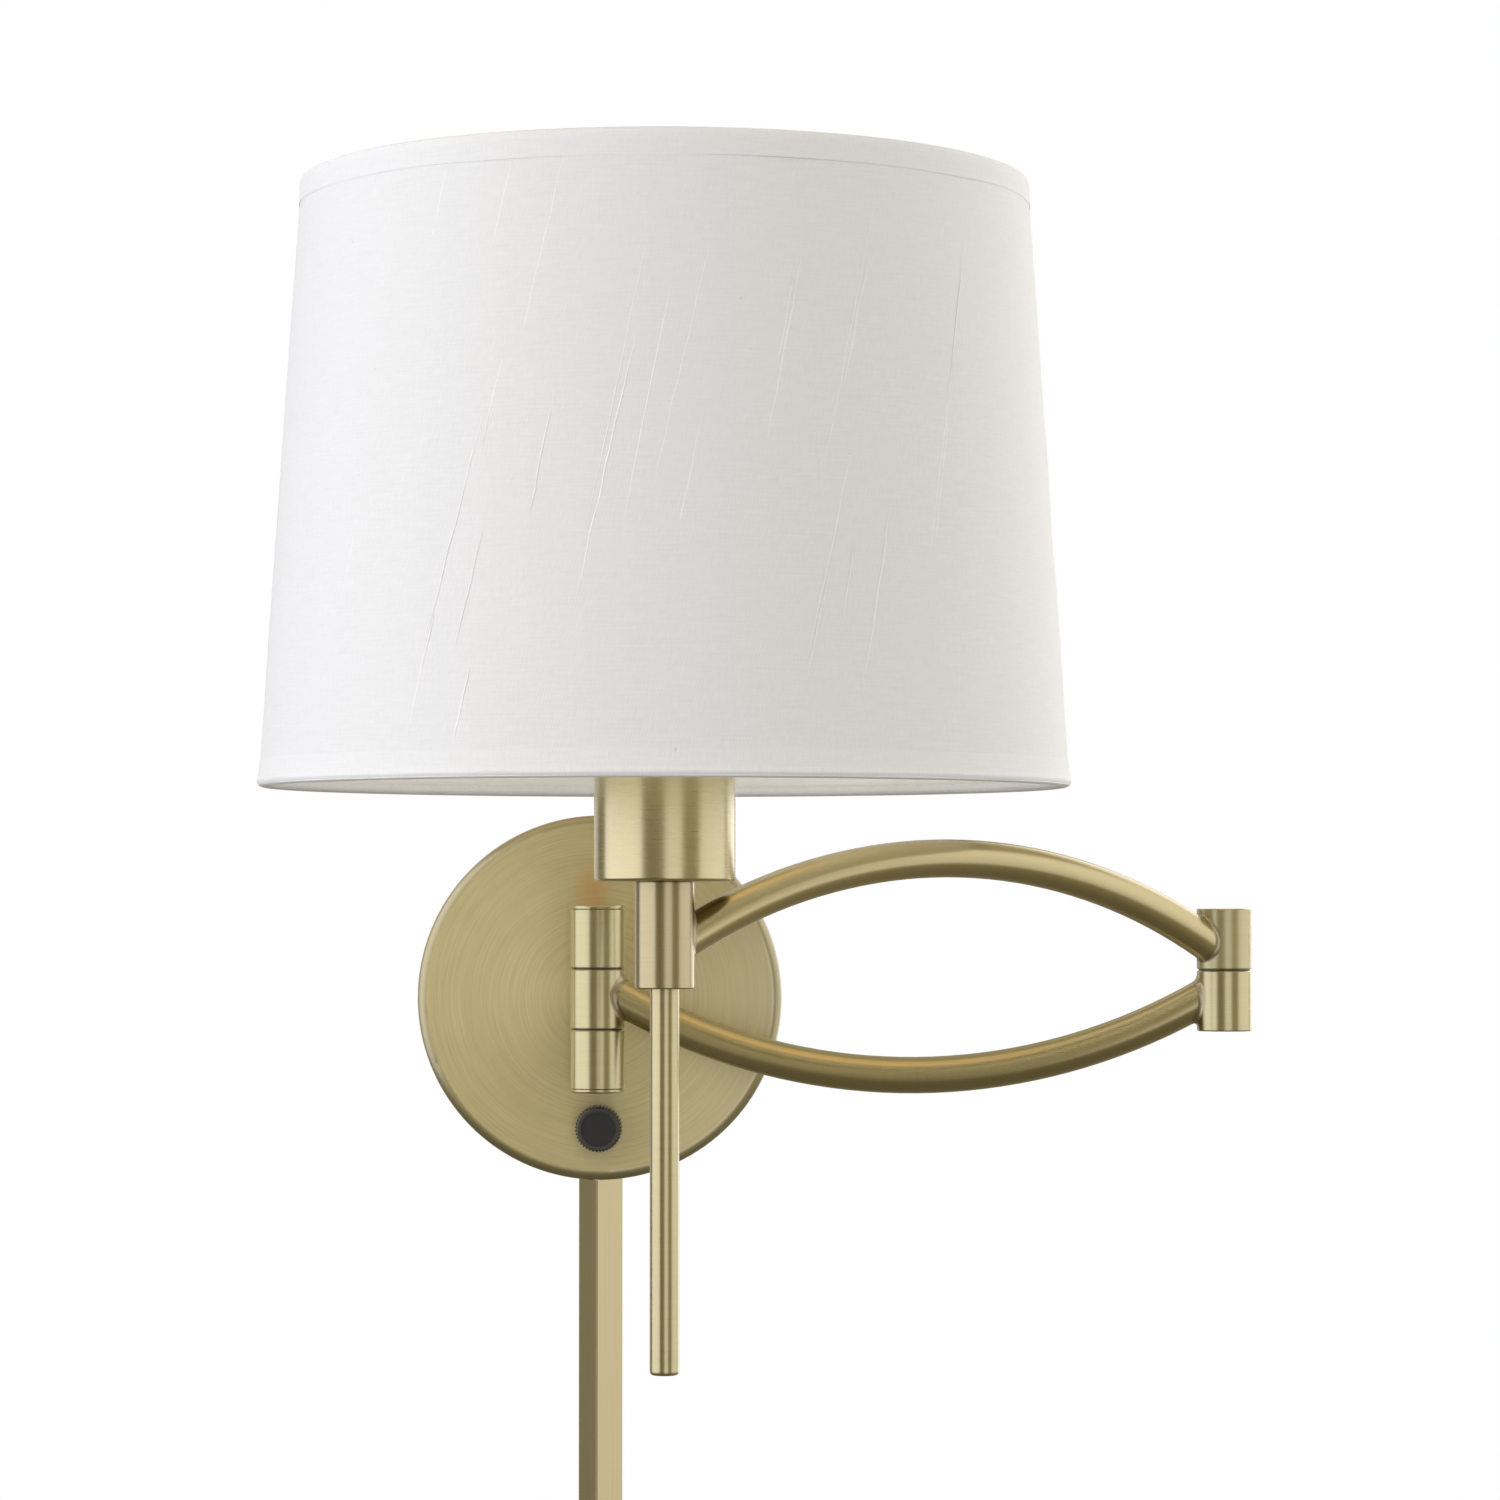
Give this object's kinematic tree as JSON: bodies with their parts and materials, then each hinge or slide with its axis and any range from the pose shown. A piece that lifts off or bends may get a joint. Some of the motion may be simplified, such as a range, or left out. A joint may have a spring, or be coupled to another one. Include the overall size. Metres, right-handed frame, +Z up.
{
  "type": "swing arm wall sconce",
  "caption": "Wall lamp with a round plate, two bowed tube arms that swing level on vertical hinges, a knob switch, a straight cord cover and a tapered drum shade that is open at both ends.",
  "frame": {"origin": "midway between the two wall box screws, in the plane of the wall", "axes": "+Y into the wall, +X to the right of a person facing it, +Z up"},
  "size_m": [0.3316, 0.3176, 0.5855],
  "materials": {
    "antique_brass": "satin, brushed, aged",
    "fitting_brass": "machined, satin",
    "zinc_steel": "zinc plated, satin",
    "ground_green": "satin",
    "black_plastic": "matte",
    "black_wire": "semi-gloss",
    "nylon": "matte, black",
    "connector_orange": "matte",
    "socket_white": "semi-gloss",
    "rim_wire": "satin",
    "shade_liner": "matte",
    "shade_linen": "slubbed plain weave"
  },
  "bodies": {
    "wall_unit": {"backplate": "antique_brass", "mounting_strap": "zinc_steel", "rim_screws": "antique_brass", "ground_screw": "ground_green", "wall_yoke": "antique_brass", "yoke_screws": "zinc_steel", "upper_wall_barrel": "antique_brass", "lower_wall_barrel": "antique_brass", "upper_barrel_cap": "antique_brass", "lower_barrel_cap": "antique_brass", "wall_hinge_pin": "fitting_brass", "wall_hinge_nuts": "fitting_brass", "wall_hinge_washers": "nylon", "switch_body": "black_plastic", "switch_nut": "fitting_brass", "switch_leads": "black_wire", "wire_connectors": "connector_orange", "wall_wire": "black_wire", "cord_grommet": "black_plastic", "cord_cover": "antique_brass", "cord_cover_base": "zinc_steel"},
    "knob": {"switch_knob": "black_plastic", "switch_shaft": "fitting_brass"},
    "lower_arm": {"wall_hub": "antique_brass", "lower_arm_tube": "antique_brass", "elbow_lower_barrel": "antique_brass", "elbow_lower_plug": "antique_brass", "elbow_pin": "fitting_brass", "elbow_pin_nuts": "fitting_brass", "elbow_washer": "nylon", "lower_arm_wire": "black_wire"},
    "upper_arm": {"elbow_upper_barrel": "antique_brass", "elbow_upper_plug": "antique_brass", "upper_arm_tube": "antique_brass", "upper_arm_wire": "black_wire", "holder_barrel": "antique_brass", "stem": "antique_brass", "stem_stud": "zinc_steel", "socket_nipple": "fitting_brass", "socket_cup": "antique_brass", "cup_nut": "fitting_brass", "socket_body": "socket_white", "socket_screw_shell": "fitting_brass", "socket_contact": "fitting_brass", "terminal_screws": "fitting_brass", "shade_ring": "socket_white", "shade_fitter": "rim_wire", "shade_spokes": "rim_wire", "shade_bottom_wire": "rim_wire", "shade_top_wire": "rim_wire", "shade_liner": "shade_liner", "shade_fabric": "shade_linen", "shade_bottom_hem": "shade_linen", "shade_top_hem": "shade_linen"}
  },
  "joints": [
    {"name": "wall_swing", "type": "hinge", "parent": "wall_unit", "child": "lower_arm", "pos_m": [0, -0.043, 0], "axis": [0, 0, 1], "range_deg": [-171, 9]},
    {"name": "elbow_swing", "type": "hinge", "parent": "lower_arm", "child": "upper_arm", "pos_m": [0.21729, -0.07742, 0], "axis": [0, 0, -1], "range_deg": [-296, 13.5]},
    {"name": "knob_turn", "type": "hinge", "parent": "wall_unit", "child": "knob", "pos_m": [0, -0.0216, -0.0463], "axis": [0, -1, 0], "continuous": true}
  ]
}
